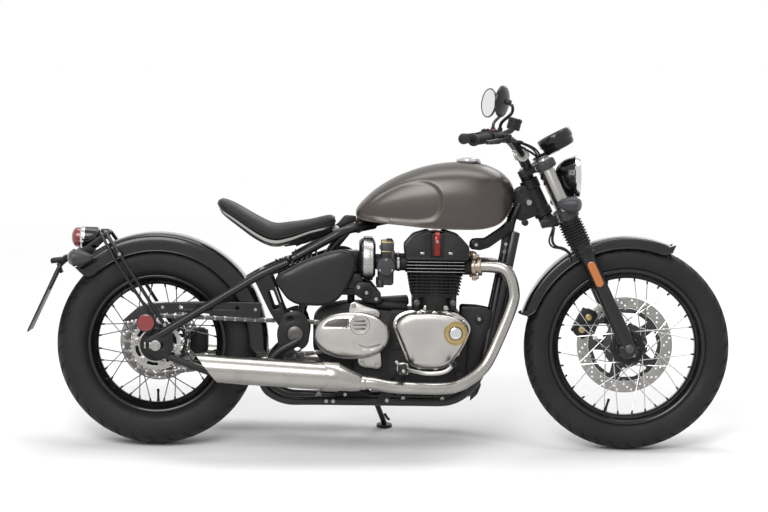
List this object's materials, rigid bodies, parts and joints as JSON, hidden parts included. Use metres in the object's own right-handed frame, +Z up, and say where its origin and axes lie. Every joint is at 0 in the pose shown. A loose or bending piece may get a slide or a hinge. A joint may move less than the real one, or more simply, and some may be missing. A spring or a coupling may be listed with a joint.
{
  "type": "bobber motorcycle",
  "caption": "Low single-seat motorcycle with wire-spoked wheels, upright twin engine and short mudguards, parked leaning on its side stand.",
  "frame": {"origin": "middle of the bounding box in plan, on the floor the tyres and the stand's foot rest on", "axes": "+X forward, +Y to the rider's left, +Z up; the machine itself leans ten degrees to its left"},
  "size_m": [2.2566, 0.9118, 1.2187],
  "materials": {
    "tyre": "moulded rubber",
    "bright_spokes": "polished spokes",
    "black_rim": "satin",
    "steel": "machined",
    "black_metal": "satin powder coat",
    "brushed": "brushed",
    "satin_black": "satin",
    "tank_paint": "matt metallic",
    "chrome": "polished",
    "pan_alloy": "brushed",
    "vinyl": "grained",
    "red_lens": "clear red",
    "amber": "amber lens",
    "fork_metal": "satin",
    "rubber": "moulded rubber"
  },
  "bodies": {
    "chassis": {"airbox": "satin_black", "chain_guard": "satin_black", "clutch_cover": "brushed", "cylinder_block": "black_metal", "drive_chain": "steel", "engine_cases": "black_metal", "exhaust_header_left": "brushed", "exhaust_header_right": "brushed", "foot_control_left": "steel", "foot_control_right": "steel", "fuel_cap": "chrome", "fuel_tank": "tank_paint", "main_frame": "black_metal", "mudguard_loop": "satin_black", "muffler_left": "brushed", "muffler_right": "brushed", "plate_holder": "satin_black", "radiator": "black_metal", "rear_caliper": "black_metal", "rear_indicators": "amber", "rear_mudguard": "satin_black", "rocker_cover": "black_metal", "seat_pad": "vinyl", "seat_pan": "pan_alloy", "shock_absorber": "black_metal", "side_panel_left": "satin_black", "side_panel_right": "satin_black", "sprocket_cover": "brushed", "swingarm": "black_metal", "tail_lamp": "red_lens", "throttle_bodies": "steel"},
    "steering": {"brake_control": "satin_black", "brake_hose": "rubber", "clutch_control": "satin_black", "fork_gaiter_left": "rubber", "fork_gaiter_right": "rubber", "fork_sliders": "black_metal", "fork_yokes": "fork_metal", "front_caliper": "black_metal", "front_indicators": "amber", "front_mudguard": "satin_black", "handlebar": "satin_black", "headlamp": "satin_black", "instrument": "satin_black", "mirror_left": "satin_black", "mirror_right": "satin_black"},
    "front_wheel": {"front_tyre": "tyre", "front_wire_wheel": "bright_spokes", "front_disc": "steel"},
    "rear_wheel": {"rear_tyre": "tyre", "rear_wire_wheel": "black_rim", "rear_disc": "steel", "rear_sprocket": "steel"},
    "stand": {"side_stand": "black_metal"}
  },
  "joints": [
    {"name": "steering_turn", "type": "hinge", "parent": "chassis", "child": "steering", "pos_m": [0.53724, -0.06697, 0.71871], "axis": [-0.4284, 0.1569, 0.8899], "range_deg": [-35, 35]},
    {"name": "front_wheel_spin", "type": "hinge", "parent": "steering", "child": "front_wheel", "pos_m": [0.7973, -0.13585, 0.32788], "axis": [-0.0001, 0.9848, -0.1736], "continuous": true},
    {"name": "rear_wheel_spin", "type": "hinge", "parent": "chassis", "child": "rear_wheel", "pos_m": [-0.7127, -0.13724, 0.32096], "axis": [-0.0001, 0.9848, -0.1736], "continuous": true},
    {"name": "side_stand_fold", "type": "hinge", "parent": "chassis", "child": "stand", "pos_m": [-0.01283, -0.01991, 0.12213], "axis": [0.0883, 0.89, 0.4474], "range_deg": [0, 104]}
  ]
}
